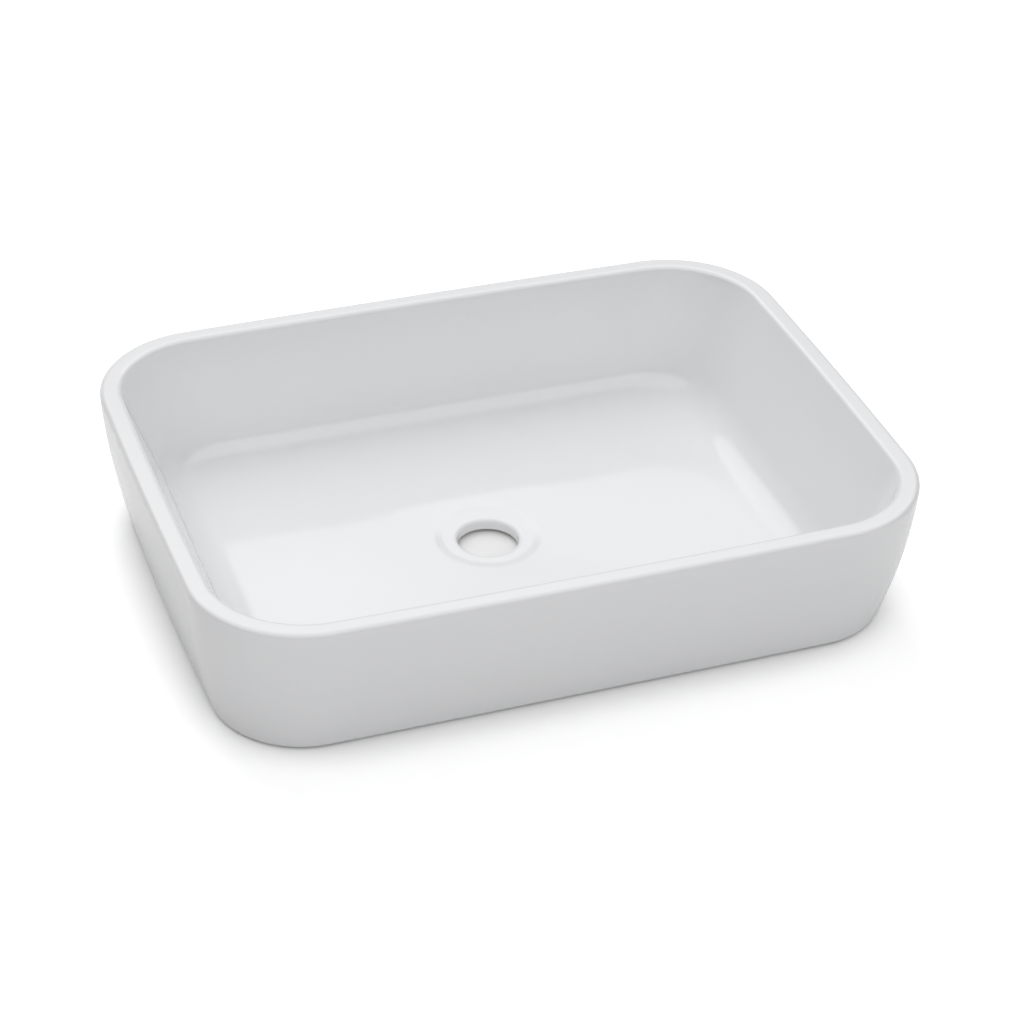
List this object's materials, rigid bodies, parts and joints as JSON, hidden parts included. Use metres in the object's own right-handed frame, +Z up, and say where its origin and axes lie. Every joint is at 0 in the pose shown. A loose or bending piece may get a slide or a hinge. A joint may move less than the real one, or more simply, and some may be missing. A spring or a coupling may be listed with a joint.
{
  "type": "countertop basin",
  "caption": "Rectangular ceramic countertop basin with round corners, a tapering outer wall, an open bowl with a falling floor, a shallow seat round the waste hole and a foot ring.",
  "frame": {"origin": "on the counter, under the middle of the rim outline", "axes": "+X along the long side, +Y from the front long side to the rear one, +Z up out of the bowl"},
  "size_m": [0.5388, 0.4064, 0.112],
  "materials": {
    "glazed_ceramic": "white gloss glaze, fired; the foot ring's contact face is wiped free of glaze"
  },
  "bodies": {
    "root": {"basin_body": "glazed_ceramic"}
  },
  "joints": []
}
